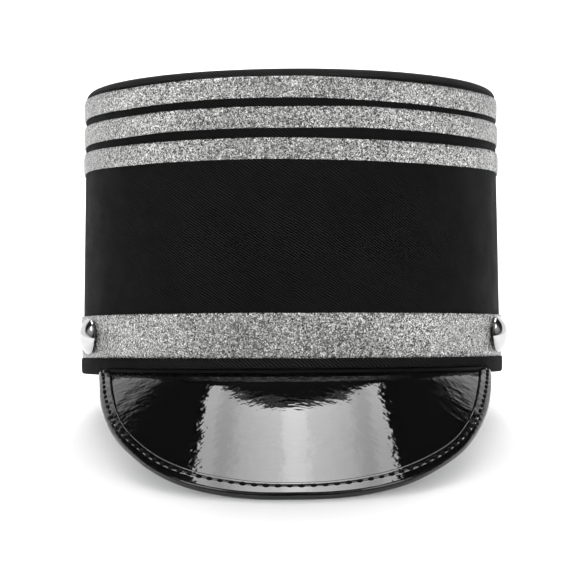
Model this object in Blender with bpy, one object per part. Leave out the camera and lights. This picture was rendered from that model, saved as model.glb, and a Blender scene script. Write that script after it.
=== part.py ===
# A tall band hat: a stiff black twill tube with a flat top, three narrow glitter ribbons
# near the top, a wide one above the rim, two domed buttons and a glossy stitched peak.
# Sizes are in millimetres in the hat's own frame: z runs up the hat from the lower rim,
# the front is towards -y. At the end the hat is leaned back until it rests on the edge
# of its peak and the back of its rim.
import bpy
import bmesh
import math
from mathutils import Vector

FIT = 0.3                      # clearance between two pieces
SKIN_FIT = 0.25                # clearance under a ribbon that is glued on
STRIP_FIT = 0.42               # clearance in the strip folded round the peak's edge

CROWN_HEIGHT = 126.0
CROWN_RADIUS_BOTTOM = 95.8
CROWN_RADIUS_TOP = 94.2
CROWN_WALL = 2.5
OVAL = 1.05                    # front-to-back depth over width

TOP_SHEET = 2.4
TOP_LIP = 3.3                  # how far the top sheet turns down over the wall
TOP_ROUNDING = 3.1

RIM_HEIGHT = 5.2
RIM_LEATHER = 1.2
RIM_RISE = 1.2                 # the rim's lower edge, over the peak
RIM_DROP = 1.8                 # how much lower than zero it lies everywhere else
RIM_RISE_END = 2.5             # degrees from the peak's end to where the edge comes down
RIM_RISE_EASE = 3.0            # degrees over which it comes down

BAND_WIDTH = 18.7
RIBBON_WIDTH = 8.9
RIBBON_THICKNESS = 0.6
UPPER_RIBBON_DROP = 4.3        # from the flat top down to the upper ribbon
UPPER_GAP = 3.0                # between the upper and the middle ribbon
LOWER_GAP = 4.1                # between the middle and the lower ribbon

PEAK_LENGTH = 69.4             # at the front, measured down the slope from the rim
PEAK_LEATHER = 1.4
PEAK_TUCK = 3.5                # part of the peak that lies under the rim
PEAK_ROOT_HEIGHT = 6.0         # sewing edge turned up inside the rim
PEAK_END_LEFT = 57.0           # degrees round from the front
PEAK_END_RIGHT = 60.0

BINDING_LEATHER = 1.0
ROW_SPREAD = 1.6               # above 1, rows of faces lie closer together near the rim

BUTTON_DIAMETER = 16.0
BUTTON_DOME = 4.0
BUTTON_EDGE = 0.9
BUTTON_SHANK_DIAMETER = 4.4
BUTTON_SHANK_LENGTH = 0.3
BUTTON_LEVEL = 15.0            # height of the button centres
BUTTON_LEFT_ANGLE = 67.0       # degrees round from the front
BUTTON_RIGHT_ANGLE = 70.0

RING_STEPS = 72
WALL_ROWS = 3
PEAK_STEPS = 40
PEAK_ROWS = 8
PEAK_BEND = (-1.3, -0.3, 0.5)  # rows of faces where the peak turns down from under the rim
BUTTON_STEPS = 20

# How steeply the peak falls, by distance down it from the rim's outer edge.
PEAK_SLOPE = (
    # distance_mm, degrees below the rim's plane
    (-1.2, 0.0),
    (0.1, 48.0),
    (0.8, 48.0),
    (2.0, 25.2),
    (4.0, 29.8),
    (7.0, 37.3),
    (10.0, 40.6),
    (22.0, 40.6),
    (40.0, 43.4),
    (72.0, 45.6),
)

# The peak's outline: how far it reaches at each part of the way round to its end.
# It bulges a little more on the left.
PEAK_REACH_LEFT = (
    # part_of_end_angle, part_of_peak_length
    (0.0, 1.0),
    (0.1, 0.997),
    (0.2, 0.969),
    (0.3, 0.913),
    (0.4, 0.819),
    (0.5, 0.696),
    (0.6, 0.563),
    (0.7, 0.413),
    (0.8, 0.261),
    (0.9, 0.121),
    (1.0, 0.023),
)
PEAK_REACH_RIGHT = (
    # part_of_end_angle, part_of_peak_length
    (0.0, 1.0),
    (0.1, 0.995),
    (0.2, 0.965),
    (0.3, 0.904),
    (0.4, 0.805),
    (0.5, 0.689),
    (0.6, 0.545),
    (0.7, 0.396),
    (0.8, 0.25),
    (0.9, 0.122),
    (1.0, 0.023),
)

# How wide the strip folded round the peak's edge is, at each part of the way round.
BINDING_WIDTH = (
    # part_of_end_angle, width_mm
    (0.0, 5.4),
    (0.1, 5.7),
    (0.2, 6.0),
    (0.3, 5.7),
    (0.4, 4.9),
    (0.5, 4.4),
    (0.6, 4.4),
    (0.7, 4.7),
    (0.8, 4.9),
    (0.9, 4.5),
    (1.0, 3.4),
)

MATERIALS = {
    # name: colour, roughness, metallic
    "black_twill": ((0.012, 0.012, 0.012), 0.85, 0.0),
    "silver_glitter": ((0.55, 0.55, 0.55), 0.45, 0.8),
    "patent_leather": ((0.006, 0.006, 0.006), 0.08, 0.0),
    "chrome": ((0.9, 0.9, 0.9), 0.08, 1.0),
}


def straight(table, x):
    # Straight-line reading of a two-column table.
    if x <= table[0][0]:
        return table[0][1]
    for (x0, y0), (x1, y1) in zip(table, table[1:]):
        if x <= x1:
            return y0 + (y1 - y0) * (x - x0) / (x1 - x0)
    return table[-1][1]


def smooth(table, x):
    # Smooth reading of a two-column table with even steps.
    step = table[1][0] - table[0][0]
    last = len(table) - 1
    k = min(int(x / step), last - 1)
    part = (x - table[k][0]) / step
    before = table[k - 1][1] if k > 0 else table[1][1]
    here = table[k][1]
    there = table[k + 1][1]
    after = table[k + 2][1] if k + 2 <= last else 2 * there - here
    leave = (there - before) / 2
    arrive = (after - here) / 2
    rest = here - there
    cubic = 2 * rest + leave + arrive
    square = -3 * rest - 2 * leave - arrive
    return ((cubic * part + square) * part + leave) * part + here


def crown_radius(z):
    return CROWN_RADIUS_BOTTOM + (CROWN_RADIUS_TOP - CROWN_RADIUS_BOTTOM) * z / CROWN_HEIGHT


def round_the_hat(radius, angle, z):
    # A point of the oval hat, with the angle counted from the front towards the right.
    return Vector((radius * math.sin(angle), -OVAL * radius * math.cos(angle), z))


def arc(centre, radius, start, end, steps):
    # Points (radius, height) along an arc, with its angles in degrees.
    points = []
    for i in range(steps + 1):
        a = math.radians(start + (end - start) * i / steps)
        points.append((centre[0] + radius * math.cos(a), centre[1] + radius * math.sin(a)))
    return points


def turned(profile, steps, place):
    # A solid turned from a profile of (radius, height). A profile that starts and ends on
    # the axis makes a full solid, and any other profile is a closed loop that makes a ring.
    full = profile[0][0] == 0 and profile[-1][0] == 0
    body = profile[1:-1] if full else profile
    count = len(body)
    points = []
    for i in range(steps):
        angle = 2 * math.pi * (i + 0.5) / steps
        for radius, height in body:
            points.append(place(radius, angle, height))
    faces = []
    for i in range(steps):
        j = (i + 1) % steps
        for k in range(count - 1 if full else count):
            m = (k + 1) % count
            faces.append((i * count + k, j * count + k, j * count + m, i * count + m))
    if full:
        first = len(points)
        points.append(place(0, 0, profile[0][1]))
        points.append(place(0, 0, profile[-1][1]))
        for i in range(steps):
            j = (i + 1) % steps
            faces.append((first, j * count, i * count))
            faces.append((first + 1, i * count + count - 1, j * count + count - 1))
    return points, faces


def shell(outer, inner):
    # A sheet with thickness between two grids of points, closed all round its border.
    rows = len(outer)
    columns = len(outer[0])
    points = [p for row in outer for p in row] + [p for row in inner for p in row]
    under = rows * columns
    faces = []
    for i in range(rows - 1):
        for k in range(columns - 1):
            a = i * columns + k
            square = (a, a + columns, a + columns + 1, a + 1)
            faces.append(square)
            faces.append(tuple(under + v for v in reversed(square)))
    border = [k for k in range(columns)]
    border += [i * columns + columns - 1 for i in range(1, rows)]
    border += [(rows - 1) * columns + k for k in range(columns - 2, -1, -1)]
    border += [i * columns for i in range(rows - 2, 0, -1)]
    for a, b in zip(border, border[1:] + border[:1]):
        faces.append((a, b, under + b, under + a))
    return points, faces


# The hat's upright pieces

def crown_wall():
    # The tube stands inside the folded rim and ends under the top sheet's lip.
    foot = RIM_RISE + RIM_LEATHER + FIT
    head = CROWN_HEIGHT - TOP_LIP - FIT
    heights = [foot + (head - foot) * i / (WALL_ROWS - 1) for i in range(WALL_ROWS)]
    outside = [(crown_radius(z), z) for z in heights]
    inside = [(crown_radius(z) - CROWN_WALL, z) for z in reversed(heights)]
    return turned(outside + inside, RING_STEPS, round_the_hat)


def crown_top():
    lip = CROWN_HEIGHT - TOP_LIP
    edge = crown_radius(lip)
    rounding = arc((edge - TOP_ROUNDING, CROWN_HEIGHT - TOP_ROUNDING), TOP_ROUNDING, 0, 90, 4)
    inner = edge - CROWN_WALL
    profile = [(0, CROWN_HEIGHT - TOP_SHEET), (inner, CROWN_HEIGHT - TOP_SHEET), (inner, lip)]
    profile += [(edge, lip)] + rounding + [(0, CROWN_HEIGHT)]
    return turned(profile, RING_STEPS, round_the_hat)


def ribbon(top, width):
    # A flat-backed ribbon with its outer corners eased.
    low = top - width
    ease = 0.4 * RIBBON_THICKNESS
    back = [(crown_radius(z) + SKIN_FIT, z) for z in (top, low)]
    face = [
        (crown_radius(low) + SKIN_FIT + RIBBON_THICKNESS - ease, low),
        (crown_radius(low) + SKIN_FIT + RIBBON_THICKNESS, low + 2 * ease),
        (crown_radius(top) + SKIN_FIT + RIBBON_THICKNESS, top - 2 * ease),
        (crown_radius(top) + SKIN_FIT + RIBBON_THICKNESS - ease, top),
    ]
    return turned(back + face, RING_STEPS, round_the_hat)


def rim_outer_radius():
    return CROWN_RADIUS_BOTTOM + FIT + RIM_LEATHER


def rim_inner_radius():
    return CROWN_RADIUS_BOTTOM - CROWN_WALL - FIT - RIM_LEATHER


def rim_level(angle):
    # The rim's lower edge: lifted where it lies on the peak's root.
    degrees = math.degrees((angle + math.pi) % (2 * math.pi) - math.pi)
    end = PEAK_END_LEFT if degrees < 0 else PEAK_END_RIGHT
    part = (abs(degrees) - end - RIM_RISE_END) / RIM_RISE_EASE
    return RIM_RISE - (RIM_RISE + RIM_DROP) * min(max(part, 0.0), 1.0)


def on_rim(radius, angle, z):
    # The fold follows the lower edge and the strip's top edge stays level.
    fold = 1.3 * RIM_LEATHER
    share = min(1.0, (RIM_HEIGHT - z) / (RIM_HEIGHT - fold))
    return round_the_hat(radius, angle, z + rim_level(angle) * share)


def rim_binding():
    # A strip folded round the tube's lower edge, open at its top.
    outer = rim_outer_radius()
    inner = rim_inner_radius()
    turn = 1.3 * RIM_LEATHER
    tight = 0.8 * RIM_LEATHER
    outside = [(outer, RIM_HEIGHT)] + arc((outer - turn, turn), turn, 0, -90, 3)
    outside += arc((inner + tight, tight), tight, -90, -180, 2) + [(inner, RIM_HEIGHT)]
    slot = [
        (inner + RIM_LEATHER, RIM_HEIGHT),
        (inner + RIM_LEATHER, RIM_LEATHER),
        (outer - RIM_LEATHER, RIM_LEATHER),
        (outer - RIM_LEATHER, RIM_HEIGHT),
    ]
    return turned(outside + slot, RING_STEPS, on_rim)


# The peak: a sloping sheet whose middle surface is read by angle and distance down it

def slope_path():
    # Radius and height of the middle surface, every quarter millimetre down the slope.
    step = 0.25
    radius = rim_outer_radius() - PEAK_TUCK
    height = RIM_RISE - FIT - PEAK_LEATHER / 2
    distance = -PEAK_TUCK
    path = [(distance, radius, height)]
    while distance < PEAK_LENGTH + 10:
        angle = straight(PEAK_SLOPE, distance + step / 2)
        radius += step * math.cos(math.radians(angle))
        height -= step * math.sin(math.radians(angle))
        distance += step
        path.append((distance, radius, height))
    return path


PATH = slope_path()
PATH_RADIUS = [(d, r) for d, r, h in PATH]
PATH_HEIGHT = [(d, h) for d, r, h in PATH]


def on_peak(angle, distance):
    return round_the_hat(straight(PATH_RADIUS, distance), angle, straight(PATH_HEIGHT, distance))


def peak_frame(angle, distance):
    # Steps of the surface by angle and by distance, and its upward normal.
    by_angle = (on_peak(angle + 0.002, distance) - on_peak(angle - 0.002, distance)) / 0.004
    by_distance = (on_peak(angle, distance + 0.25) - on_peak(angle, distance - 0.25)) * 2
    normal = by_distance.cross(by_angle).normalized()
    if normal.z < 0:
        normal = -normal
    return by_angle, by_distance, normal


def outline(part):
    # Angle and reach of the peak's outline, with part running from -1 at the left end to 1.
    end = PEAK_END_LEFT if part < 0 else PEAK_END_RIGHT
    reach = PEAK_REACH_LEFT if part < 0 else PEAK_REACH_RIGHT
    return math.radians(end * part), PEAK_LENGTH * smooth(reach, abs(part))


def inward_step(part):
    # Change of angle and distance for one millimetre square to the outline, on the surface.
    angle, reach = outline(part)
    near = max(part - 0.01, -1.0)
    far = min(part + 0.01, 1.0)
    along = (on_peak(*outline(far)) - on_peak(*outline(near))).normalized()
    by_angle, by_distance, normal = peak_frame(angle, reach)
    inward = along.cross(normal)
    if inward.dot(by_distance) > 0:
        inward = -inward
    aa = by_angle.dot(by_angle)
    ad = by_angle.dot(by_distance)
    dd = by_distance.dot(by_distance)
    ia = inward.dot(by_angle)
    id_ = inward.dot(by_distance)
    whole = aa * dd - ad * ad
    return (ia * dd - id_ * ad) / whole, (id_ * aa - ia * ad) / whole


def outline_parts():
    return [-1 + 2 * i / PEAK_STEPS for i in range(PEAK_STEPS + 1)]


def peak():
    half = PEAK_LEATHER / 2
    bend = 1.7 * half
    root = rim_inner_radius() - FIT - half
    level = RIM_RISE - FIT - half
    corner = arc((root + bend, level + bend), bend, 180, 270, 2)
    sheet_top = []
    sheet_under = []
    for part in outline_parts():
        by_angle, by_distance = inward_step(part)
        angle, reach = outline(part)
        angle += by_angle * FIT
        reach += by_distance * FIT
        column = [(root, level + bend + PEAK_ROOT_HEIGHT)] + corner
        top_row = []
        under_row = []
        directions = [(1.0, 0.0), (1.0, 0.0), (0.707, 0.707), (0.0, 1.0)]
        for (radius, height), (out, up) in zip(column, directions):
            centre = round_the_hat(radius, angle, height)
            normal = Vector((OVAL * out * math.sin(angle), -out * math.cos(angle), OVAL * up))
            normal.normalize()
            top_row.append(centre + normal * half)
            under_row.append(centre - normal * half)
        distances = [-PEAK_TUCK] + list(PEAK_BEND)
        first = PEAK_BEND[-1]
        distances += [first + (reach - first) * (k / PEAK_ROWS) ** ROW_SPREAD for k in range(1, PEAK_ROWS + 1)]
        for distance in distances:
            centre = on_peak(angle, distance)
            normal = peak_frame(angle, distance)[2]
            top_row.append(centre + normal * half)
            under_row.append(centre - normal * half)
        sheet_top.append(top_row)
        sheet_under.append(under_row)
    return shell(sheet_top, sheet_under)


def peak_binding():
    # A strip folded round the peak's edge. Near the rim it narrows to stay outside it.
    slot = PEAK_LEATHER / 2 + STRIP_FIT
    thick = slot + BINDING_LEATHER
    outer = []
    inner = []
    for part in outline_parts():
        angle, reach = outline(part)
        by_angle, by_distance = inward_step(part)
        width = min(smooth(BINDING_WIDTH, abs(part)), (reach - FIT) / -by_distance)
        stations = [
            # share of the width, inside the turn or not, degrees round the turn
            (1.0, False, 90),
            (0.62, False, 90),
            (0.3, False, 90),
            (0.0, True, 90),
            (0.0, True, 45),
            (0.0, True, 0),
            (0.0, True, -45),
            (0.0, True, -90),
            (0.5, False, -90),
            (1.0, False, -90),
        ]
        outer_row = []
        inner_row = []
        for share, turn, degrees in stations:
            here = width * share
            here_angle = angle + by_angle * here
            here_reach = reach + by_distance * here
            step_angle, step_reach, normal = peak_frame(here_angle, here_reach)
            centre = on_peak(here_angle, here_reach)
            inward = step_angle * by_angle + step_reach * by_distance
            inward.normalize()
            out = -math.cos(math.radians(degrees))
            up = math.sin(math.radians(degrees))
            direction = inward * out + normal * up if turn else normal * up
            outer_row.append(centre + direction * thick)
            inner_row.append(centre + direction * slot)
        outer.append(outer_row)
        inner.append(inner_row)
    return shell(outer, inner)


def button(degrees):
    # A domed button with a short shank, square to the hat at its place.
    angle = math.radians(degrees)
    back = crown_radius(BUTTON_LEVEL) + SKIN_FIT + RIBBON_THICKNESS + FIT
    base = round_the_hat(back, angle, BUTTON_LEVEL)
    outward = Vector((OVAL * math.sin(angle), -math.cos(angle), 0)).normalized()
    sideways = Vector((0, 0, 1)).cross(outward)

    def place(radius, turn, height):
        across = sideways * (radius * math.cos(turn))
        up = Vector((0, 0, 1)) * (radius * math.sin(turn))
        return base + outward * height + across + up

    radius = BUTTON_DIAMETER / 2
    sphere = (radius * radius + BUTTON_DOME * BUTTON_DOME) / (2 * BUTTON_DOME)
    start = math.degrees(math.asin(radius / sphere))
    shoulder = BUTTON_SHANK_LENGTH + BUTTON_EDGE
    dome = arc((0, shoulder + BUTTON_DOME - sphere), sphere, 90 - start, 90, 6)
    profile = [(0, 0), (BUTTON_SHANK_DIAMETER / 2, 0)]
    profile += [(BUTTON_SHANK_DIAMETER / 2, BUTTON_SHANK_LENGTH)]
    profile += [(radius - BUTTON_EDGE / 2, BUTTON_SHANK_LENGTH)]
    profile += [(radius, BUTTON_SHANK_LENGTH + BUTTON_EDGE / 2)]
    profile += dome[:-1] + [(0, shoulder + BUTTON_DOME)]
    return turned(profile, BUTTON_STEPS, place)


# The pieces, in the hat's own frame

upper = CROWN_HEIGHT - UPPER_RIBBON_DROP
middle = upper - RIBBON_WIDTH - UPPER_GAP
lower = middle - RIBBON_WIDTH - LOWER_GAP
band_top = RIM_HEIGHT + FIT + BAND_WIDTH

PIECES = {
    "crown_wall": (crown_wall(), "black_twill"),
    "crown_top": (crown_top(), "black_twill"),
    "ribbon_upper": (ribbon(upper, RIBBON_WIDTH), "silver_glitter"),
    "ribbon_middle": (ribbon(middle, RIBBON_WIDTH), "silver_glitter"),
    "ribbon_lower": (ribbon(lower, RIBBON_WIDTH), "silver_glitter"),
    "band_ribbon": (ribbon(band_top, BAND_WIDTH), "silver_glitter"),
    "rim_binding": (rim_binding(), "black_twill"),
    "peak": (peak(), "patent_leather"),
    "peak_binding": (peak_binding(), "patent_leather"),
    "button_left": (button(-BUTTON_LEFT_ANGLE), "chrome"),
    "button_right": (button(BUTTON_RIGHT_ANGLE), "chrome"),
}


# Rest: lean the hat back until the peak's edge and the back of the rim are level

def leaned(point, angle):
    y = point.y * math.cos(angle) + point.z * math.sin(angle)
    z = point.z * math.cos(angle) - point.y * math.sin(angle)
    return Vector((point.x, y, z))


def lowest(name, angle):
    return min(leaned(p, angle).z for p in PIECES[name][0][0])


def rest_angle():
    low = 0.0
    high = math.radians(40)
    for _ in range(40):
        middle_angle = (low + high) / 2
        if lowest("peak_binding", middle_angle) < lowest("rim_binding", middle_angle):
            low = middle_angle
        else:
            high = middle_angle
    return (low + high) / 2


lean = rest_angle()
standing = {name: [leaned(p, lean) for p in solid[0]] for name, (solid, _) in PIECES.items()}
every = [p for points in standing.values() for p in points]
shift = Vector((
    (min(p.x for p in every) + max(p.x for p in every)) / 2,
    (min(p.y for p in every) + max(p.y for p in every)) / 2,
    min(p.z for p in every),
))


# Blender objects

for old in list(bpy.data.objects):
    bpy.data.objects.remove(old, do_unlink=True)

materials = {}
for name, (colour, roughness, metallic) in MATERIALS.items():
    material = bpy.data.materials.new(name)
    material.use_nodes = True
    shader = material.node_tree.nodes["Principled BSDF"]
    shader.inputs["Base Color"].default_value = (*colour, 1.0)
    shader.inputs["Roughness"].default_value = roughness
    shader.inputs["Metallic"].default_value = metallic
    materials[name] = material

for name, (solid, material_name) in PIECES.items():
    mesh = bpy.data.meshes.new(name)
    metres = [(p - shift) * 0.001 for p in standing[name]]
    mesh.from_pydata(metres, [], solid[1])
    shape = bmesh.new()
    shape.from_mesh(mesh)
    bmesh.ops.recalc_face_normals(shape, faces=shape.faces)
    shape.to_mesh(mesh)
    shape.free()
    mesh.materials.append(materials[material_name])
    item = bpy.data.objects.new(name, mesh)
    bpy.context.collection.objects.link(item)

print("lean", round(math.degrees(lean), 3), "degrees, shift", [round(v, 3) for v in shift])
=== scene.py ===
import bmesh
import bpy
import math
import numpy as np
from mathutils import Matrix, Vector


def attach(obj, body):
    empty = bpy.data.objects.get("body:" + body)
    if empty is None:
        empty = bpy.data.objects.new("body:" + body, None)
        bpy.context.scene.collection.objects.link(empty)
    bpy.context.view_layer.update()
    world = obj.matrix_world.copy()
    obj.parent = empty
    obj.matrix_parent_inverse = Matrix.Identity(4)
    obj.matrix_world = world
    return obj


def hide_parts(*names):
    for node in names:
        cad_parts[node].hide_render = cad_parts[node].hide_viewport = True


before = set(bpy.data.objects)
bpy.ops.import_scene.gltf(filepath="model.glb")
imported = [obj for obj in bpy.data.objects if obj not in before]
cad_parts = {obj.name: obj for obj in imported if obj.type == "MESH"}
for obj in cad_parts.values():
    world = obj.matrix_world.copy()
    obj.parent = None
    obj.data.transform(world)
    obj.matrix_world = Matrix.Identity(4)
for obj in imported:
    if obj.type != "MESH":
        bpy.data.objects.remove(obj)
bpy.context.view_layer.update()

# The hat's own frame, in millimetres: z runs up the hat from the rim, the front is towards -y.
hat = {
    "height": 126.0,
    "radiusBottom": 95.8,
    "radiusTop": 94.2,
    "wall": 2.5,
    "oval": 1.05,          # depth over width
    "fit": 0.3,
    "skinFit": 0.25,       # under the ribbons
    "lean": 10.336,        # degrees, resting on the peak's edge and the back of the rim
    "shift": (0.0, -22.095, -19.789),
    # A board tube is never quite true: mm in and out, waves round it, where they start, their slant.
    "waves": ((0.10, 3, 0.7, 0.012), (0.07, 5, 2.1, -0.02), (0.04, 9, 0.0, 0.045)),
}
leanAngle = math.radians(hat["lean"])


def toWorld(points):
    # Millimetres in the hat's frame to metres in the model's frame.
    p = np.asarray(points, float)
    c, s = math.cos(leanAngle), math.sin(leanAngle)
    y = p[..., 1] * c + p[..., 2] * s
    z = p[..., 2] * c - p[..., 1] * s
    moved = np.stack([p[..., 0], y, z], -1) - np.array(hat["shift"])
    return moved * 0.001


def leanMatrix():
    columns = [toWorld((1, 0, 0)), toWorld((0, 1, 0)), toWorld((0, 0, 1))]
    origin = toWorld((0, 0, 0))
    m = Matrix.Identity(4)
    for k, column in enumerate(columns):
        for i in range(3):
            m[i][k] = column[i] - origin[i]
    for i in range(3):
        m[i][3] = origin[i]
    return m


def crownRadius(z):
    return hat["radiusBottom"] + (hat["radiusTop"] - hat["radiusBottom"]) * z / hat["height"]


def unevenness(angle, z):
    return sum(depth * np.sin(waves * angle + start + z * slant) for depth, waves, start, slant in hat["waves"])


def roundTheHat(radius, angle, z):
    return np.stack(np.broadcast_arrays(
        radius * np.sin(angle), -hat["oval"] * radius * np.cos(angle), z), -1)


# Mesh helpers

def placeObject(name, data):
    item = bpy.data.objects.new(name, data)
    bpy.context.collection.objects.link(item)
    return item


def gridMesh(name, points, uv, materials, ring=False, rowMaterial=None):
    # A smooth mesh from rows and columns of points, closed across its columns. A ring closes
    # across its rows too. uv has one more row or column where the mesh closes.
    rows, columns = points.shape[:2]
    i, k = np.meshgrid(np.arange(rows if ring else rows - 1), np.arange(columns), indexing="ij")
    i, k = i.ravel(), k.ravel()
    corners = [(i, k), (i + 1, k), (i + 1, k + 1), (i, k + 1)]
    faces = np.stack([a % rows * columns + b % columns for a, b in corners], -1)
    uvFaces = np.stack([a * uv.shape[1] + b for a, b in corners], -1)
    if ring:
        faces, uvFaces = faces[:, ::-1], uvFaces[:, ::-1]
    mesh = bpy.data.meshes.new(name)
    mesh.from_pydata(points.reshape(-1, 3).tolist(), [], faces.tolist())
    layer = mesh.uv_layers.new(name="surface")
    layer.data.foreach_set("uv", uv.reshape(-1, 2)[uvFaces.ravel()].astype(np.float32).ravel())
    for material in materials:
        mesh.materials.append(material)
    if rowMaterial is not None:
        mesh.polygons.foreach_set("material_index", np.asarray(rowMaterial)[i].astype(np.int32))
    mesh.polygons.foreach_set("use_smooth", np.ones(len(faces), bool))
    mesh.update()
    return placeObject(name, mesh)


def arcPoints(centre, radius, start, end, steps):
    a = np.radians(np.linspace(start, end, steps + 1))
    return [(centre[0] + radius * math.cos(t), centre[1] + radius * math.sin(t)) for t in a]


def ringAngles(segments):
    return 2 * np.pi * (np.arange(segments) + 0.5) / segments


def ringUv(profile, segments, radius, start=0.0, direction=1):
    # Millimetres round the hat and along the profile of (radius, height).
    around = radius * 2 * np.pi * (np.arange(segments + 1) + 0.5) / segments
    closed = np.vstack([profile, profile[:1]])
    along = np.concatenate([[0], np.cumsum(np.hypot(*np.diff(closed, axis=0).T))])
    return np.stack(np.broadcast_arrays(around[None, :], (start + direction * along)[:, None]), -1)


def closeHoles(piece):
    shape = bmesh.new()
    shape.from_mesh(piece.data)
    edges = [e for e in shape.edges if e.is_boundary]
    if edges:
        bmesh.ops.holes_fill(shape, edges=edges, sides=0)
    bmesh.ops.recalc_face_normals(shape, faces=shape.faces)
    shape.to_mesh(piece.data)
    shape.free()


def finishPiece(piece, node):
    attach(piece, "root")
    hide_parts(node)


# Node helpers

def setInputs(tree, node, inputs):
    for key, value in inputs.items():
        if isinstance(value, bpy.types.NodeSocket):
            tree.links.new(value, node.inputs[key])
        else:
            node.inputs[key].default_value = value


def addNode(tree, kind, inputs=None, **settings):
    node = tree.nodes.new(kind)
    for key, value in settings.items():
        setattr(node, key, value)
    setInputs(tree, node, inputs or {})
    return node


def mathNode(tree, operation, a, b=0.0, c=None):
    inputs = {0: a, 1: b} if c is None else {0: a, 1: b, 2: c}
    return addNode(tree, "ShaderNodeMath", inputs, operation=operation).outputs[0]


def times(tree, first, *others):
    for other in others:
        first = mathNode(tree, "MULTIPLY", first, other)
    return first


def plus(tree, first, *others):
    for other in others:
        first = mathNode(tree, "ADD", first, other)
    return first


def minus(tree, a, b):
    return mathNode(tree, "SUBTRACT", a, b)


def vectorMath(tree, operation, inputs):
    return addNode(tree, "ShaderNodeVectorMath", inputs, operation=operation).outputs[0]


def axes(tree, vector):
    return addNode(tree, "ShaderNodeSeparateXYZ", {0: vector}).outputs


def combine(tree, x, y, z):
    return addNode(tree, "ShaderNodeCombineXYZ", {0: x, 1: y, 2: z}).outputs[0]


def centred(tree, colour):
    # A random colour as a vector that leans to all sides alike.
    return vectorMath(tree, "SUBTRACT", {0: colour, 1: (0.5, 0.5, 0.5)})


def noise(tree, vector, scale, detail, roughness=0.5):
    return addNode(tree, "ShaderNodeTexNoise", {
        "Vector": vector, "Scale": scale, "Detail": detail, "Roughness": roughness}).outputs


def ramp(tree, value, low, high, fromMin=0.0, fromMax=1.0):
    return addNode(tree, "ShaderNodeMapRange", {
        "Value": value, "From Min": fromMin, "From Max": fromMax, "To Min": low, "To Max": high}).outputs[0]


def bump(tree, height, strength, distance):
    return addNode(tree, "ShaderNodeBump", {
        "Height": height, "Strength": strength, "Distance": distance}).outputs["Normal"]


def newMaterial(name):
    material = bpy.data.materials.new(name)
    material.use_nodes = True
    tree = material.node_tree
    return material, tree, tree.nodes["Principled BSDF"]


def newGroup(name, inputs, outputs, kind="ShaderNodeTree"):
    group = bpy.data.node_groups.new(name, kind)
    for way, sockets in (("INPUT", inputs), ("OUTPUT", outputs)):
        for socketName, valueKind in sockets:
            group.interface.new_socket(socketName, in_out=way, socket_type="NodeSocket" + valueKind)
    return group, addNode(group, "NodeGroupInput").outputs, addNode(group, "NodeGroupOutput").inputs


def useGroup(tree, group, inputs):
    return addNode(tree, "ShaderNodeGroup", inputs, node_tree=group).outputs


def objectPlace(tree):
    return addNode(tree, "ShaderNodeTexCoord").outputs["Object"]


def clothPlace(tree):
    return addNode(tree, "ShaderNodeUVMap", uv_map="surface").outputs["UV"]


def patches(tree, size, low, high):
    # A value that changes slowly over the object, between low and high.
    return useGroup(tree, patchGroup, {
        "Vector": objectPlace(tree), "Size": size, "Low": low, "High": high})["Value"]


def grey(tree, level):
    return addNode(tree, "ShaderNodeCombineColor", {0: level, 1: level, 2: level}).outputs[0]


# Effects that the materials share

def makeTwillGroup():
    # Diagonal ridges on a cloth, broken by the threads that cross them. The vector is in mm.
    group, given, result = newGroup("twillWeave", [
        ("Vector", "Vector"), ("Ridge Spacing", "Float"), ("Ridge Angle", "Float"), ("Fuzz", "Float"),
    ], [("Height", "Float"), ("Shade", "Float")])
    nudge = centred(group, noise(group, given["Vector"], 0.11, 2.0)["Color"])
    nudged = vectorMath(group, "MULTIPLY_ADD", {0: nudge, 1: (1.6, 1.6, 0.0), 2: given["Vector"]})
    turned = addNode(group, "ShaderNodeVectorRotate", {
        "Vector": nudged, "Angle": given["Ridge Angle"]}, rotation_type="Z_AXIS")
    parts = axes(group, turned.outputs[0])
    across = mathNode(group, "DIVIDE", parts["Y"], given["Ridge Spacing"])
    ridge = mathNode(group, "SINE", times(group, across, 2 * math.pi))
    along = mathNode(group, "DIVIDE", parts["X"], times(group, given["Ridge Spacing"], 0.62))
    stagger = times(group, mathNode(group, "FLOOR", across), 0.37)
    crossing = mathNode(group, "SINE", times(group, plus(group, along, stagger), 2 * math.pi))
    fibre = noise(group, given["Vector"], 2.6, 4.0, 0.7)["Fac"]
    fuzz = times(group, minus(group, fibre, 0.5), given["Fuzz"])
    weave = mathNode(group, "MULTIPLY_ADD", crossing, 0.14, times(group, ridge, 0.5))
    height = plus(group, weave, fuzz, 0.5)
    # The Shade output becomes the cloth's colour: painted shade, darker in the valleys between the ridges and lighter
    # on them.
    group.links.new(height, result["Height"])
    group.links.new(ramp(group, height, 0.0, 2.3, 0.15, 1.05), result["Shade"])
    return group


def makePatchGroup():
    # Slow, soft patches for roughness and tone: handling, smudges, uneven coating.
    group, given, result = newGroup("slowPatches", [
        ("Vector", "Vector"), ("Size", "Float"), ("Low", "Float"), ("High", "Float")], [("Value", "Float")])
    scale = mathNode(group, "DIVIDE", 1.0, given["Size"])
    soft = noise(group, given["Vector"], scale, 3.0, 0.55)["Fac"]
    group.links.new(ramp(group, soft, given["Low"], given["High"], 0.3, 0.7), result["Value"])
    return group


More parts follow.
